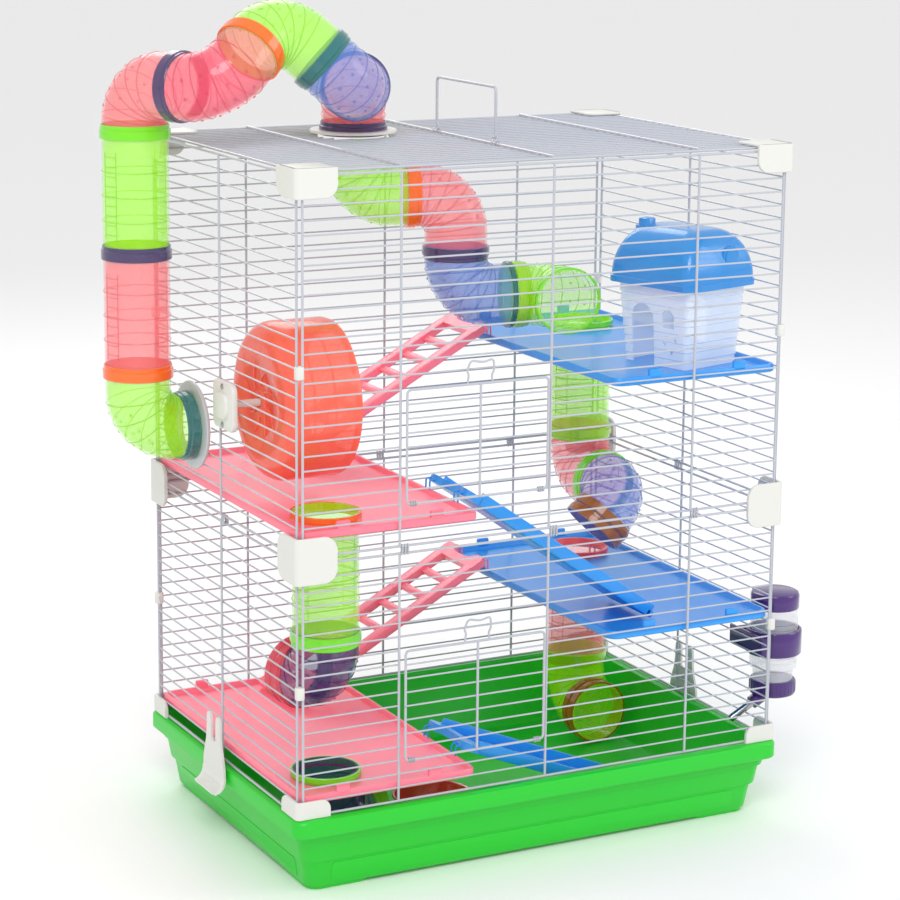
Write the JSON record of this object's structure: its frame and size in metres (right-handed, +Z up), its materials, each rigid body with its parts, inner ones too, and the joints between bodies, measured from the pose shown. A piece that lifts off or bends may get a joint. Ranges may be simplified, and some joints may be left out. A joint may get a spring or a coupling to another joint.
{
  "type": "hamster cage",
  "caption": "Tall wire hamster cage on a green tray with platforms, ladders, drop-down doors, exercise wheel, house, water bottle and a run of plug-together tubes.",
  "frame": {"origin": "middle of the tray's flat underside, on the surface it stands on", "axes": "+Z up, -Y towards the doors at the front, +X towards the water bottle at the right"},
  "size_m": [0.5836, 0.324, 0.7097],
  "materials": {
    "white_wire": "powder-coated steel wire, satin",
    "off_white": "satin moulded plastic",
    "tray_green": "glossy moulded plastic",
    "pink": "glossy moulded plastic",
    "blue": "glossy moulded plastic",
    "wheel_coral": "translucent moulded plastic",
    "tube_green": "clear tinted plastic",
    "tube_pink": "clear tinted plastic",
    "tube_blue": "clear tinted plastic",
    "tube_purple": "clear tinted plastic",
    "house_milky": "milky translucent plastic",
    "bottle_clear": "clear plastic, filled with water",
    "purple": "glossy moulded plastic",
    "bowl_red": "glossy moulded plastic"
  },
  "bodies": {
    "tray": {"tray": "tray_green"},
    "latch_left": {"latch_left": "off_white"},
    "latch_right": {"latch_right": "off_white"},
    "door_lower": {"door_lower": "white_wire"},
    "door_upper": {"door_upper": "white_wire"},
    "carry_handle": {"carry_handle": "white_wire"},
    "ladder_upper": {"ladder_upper": "pink"},
    "ramp_middle": {"ramp_middle": "blue"},
    "ladder_lower": {"ladder_lower": "pink"},
    "ramp_lower": {"ramp_lower": "blue"},
    "exit_elbow_upper": {"exit_elbow_upper": "tube_green"},
    "exit_elbow_middle": {"exit_elbow_middle": "tube_blue"},
    "exit_elbow_lower": {"exit_elbow_lower": "tube_green"},
    "exit_elbow_left": {"exit_elbow_left": "tube_purple"},
    "burrow_elbow": {"burrow_elbow": "tube_blue"},
    "wheel": {"wheel": "wheel_coral"},
    "house_roof": {"house_roof": "blue"},
    "water_bottle": {"bottle_body": "bottle_clear", "bottle_cap": "purple", "bottle_holder": "purple"},
    "food_bowl": {"food_bowl": "bowl_red"},
    "cage_frame": {"front_panel_lower": "white_wire", "front_panel_upper": "white_wire", "back_panel_lower": "white_wire", "back_panel_upper": "white_wire", "left_panel_lower": "white_wire", "left_panel_upper": "white_wire", "right_panel_lower": "white_wire", "right_panel_upper": "white_wire", "roof_panel": "white_wire", "clip_middle_front_left": "off_white", "clip_middle_front_right": "off_white", "clip_middle_back_left": "off_white", "clip_middle_back_right": "off_white", "clip_top_front_left": "off_white", "clip_top_front_right": "off_white", "clip_top_back_left": "off_white", "clip_top_back_right": "off_white", "platform_upper_right": "blue", "platform_middle_left": "pink", "platform_middle_right": "blue", "platform_lower_left": "pink", "port_elbow": "tube_green", "riser_lower": "tube_pink", "riser_upper": "tube_green", "outer_elbow_first": "tube_pink", "outer_elbow_second": "tube_pink", "outer_elbow_third": "tube_green", "outer_elbow_fourth": "tube_blue", "outer_elbow_roof": "tube_pink", "side_port_flange": "off_white", "inner_elbow_first": "tube_green", "inner_elbow_second": "tube_pink", "inner_elbow_third": "tube_blue", "right_drop_upper": "tube_green", "right_elbow_upper": "tube_pink", "right_drop_lower": "tube_pink", "left_drop": "tube_green", "wheel_bracket": "off_white", "house_walls": "house_milky"}
  },
  "joints": [
    {"name": "cage_lift", "type": "slide", "parent": "tray", "child": "cage_frame", "axis": [0, 0, 1], "range_m": [0, 0.3]},
    {"name": "latch_left_hinge", "type": "hinge", "parent": "cage_frame", "child": "latch_left", "pos_m": [-0.2345, 0, 0.11], "axis": [0, 1, 0], "range_deg": [0, 80]},
    {"name": "latch_right_hinge", "type": "hinge", "parent": "cage_frame", "child": "latch_right", "pos_m": [0.2345, 0, 0.11], "axis": [0, -1, 0], "range_deg": [0, 80]},
    {"name": "door_lower_hinge", "type": "hinge", "parent": "cage_frame", "child": "door_lower", "pos_m": [-0.0683, -0.1571, 0.10367], "axis": [1, 0, 0], "range_deg": [0, 150]},
    {"name": "door_upper_hinge", "type": "hinge", "parent": "cage_frame", "child": "door_upper", "pos_m": [-0.0683, -0.1571, 0.31779], "axis": [1, 0, 0], "range_deg": [0, 150]},
    {"name": "carry_handle_hinge", "type": "hinge", "parent": "cage_frame", "child": "carry_handle", "pos_m": [0, 0, 0.5905], "axis": [0, 1, 0], "range_deg": [-60, 85]},
    {"name": "ladder_upper_hinge", "type": "hinge", "parent": "cage_frame", "child": "ladder_upper", "pos_m": [0.0622, 0.101, 0.4105], "axis": [0, 1, 0], "range_deg": [0, 50]},
    {"name": "ladder_lower_hinge", "type": "hinge", "parent": "cage_frame", "child": "ladder_lower", "pos_m": [0.0622, 0.101, 0.193], "axis": [0, 1, 0], "range_deg": [0, 43]},
    {"name": "ramp_middle_hinge", "type": "hinge", "parent": "cage_frame", "child": "ramp_middle", "pos_m": [-0.0622, -0.088, 0.3115], "axis": [0, -1, 0], "range_deg": [0, 48]},
    {"name": "ramp_lower_hinge", "type": "hinge", "parent": "cage_frame", "child": "ramp_lower", "pos_m": [-0.0622, -0.088, 0.0935], "axis": [0, -1, 0], "range_deg": [0, 34]},
    {"name": "wheel_spin", "type": "hinge", "parent": "cage_frame", "child": "wheel", "pos_m": [-0.169, -0.023, 0.38157], "axis": [1, 0, 0], "continuous": true},
    {"name": "house_roof_lift", "type": "slide", "parent": "cage_frame", "child": "house_roof", "axis": [0, 0, 1], "range_m": [0, 0.04]},
    {"name": "water_bottle_pull", "type": "slide", "parent": "cage_frame", "child": "water_bottle", "axis": [0.8829, 0, 0.4695], "range_m": [0, 0.06]},
    {"name": "food_bowl_lift", "type": "slide", "parent": "tray", "child": "food_bowl", "axis": [0, 0, 1], "range_m": [0, 0.02]},
    {"name": "exit_elbow_upper_swivel", "type": "hinge", "parent": "cage_frame", "child": "exit_elbow_upper", "pos_m": [0.05329, 0.02354, 0.4465], "axis": [0.9703, -0.2419, 0], "range_deg": [0, 32]},
    {"name": "exit_elbow_middle_swivel", "type": "hinge", "parent": "cage_frame", "child": "exit_elbow_middle", "pos_m": [0.17464, 0.05706, 0.2589], "axis": [-0.0523, -0.9986, 0], "range_deg": [-16, 46]},
    {"name": "exit_elbow_lower_swivel", "type": "hinge", "parent": "cage_frame", "child": "exit_elbow_lower", "pos_m": [0.177, 0.102, 0.0864], "axis": [0, 0, -1], "range_deg": [0, 85]},
    {"name": "exit_elbow_left_swivel", "type": "hinge", "parent": "cage_frame", "child": "exit_elbow_left", "pos_m": [-0.177, -0.1, 0.2049], "axis": [0, 0, -1], "range_deg": [0, 73]},
    {"name": "burrow_elbow_swivel", "type": "hinge", "parent": "cage_frame", "child": "burrow_elbow", "pos_m": [-0.177, -0.1, 0.0869], "axis": [0, 0, 1], "range_deg": [0, 85]}
  ]
}
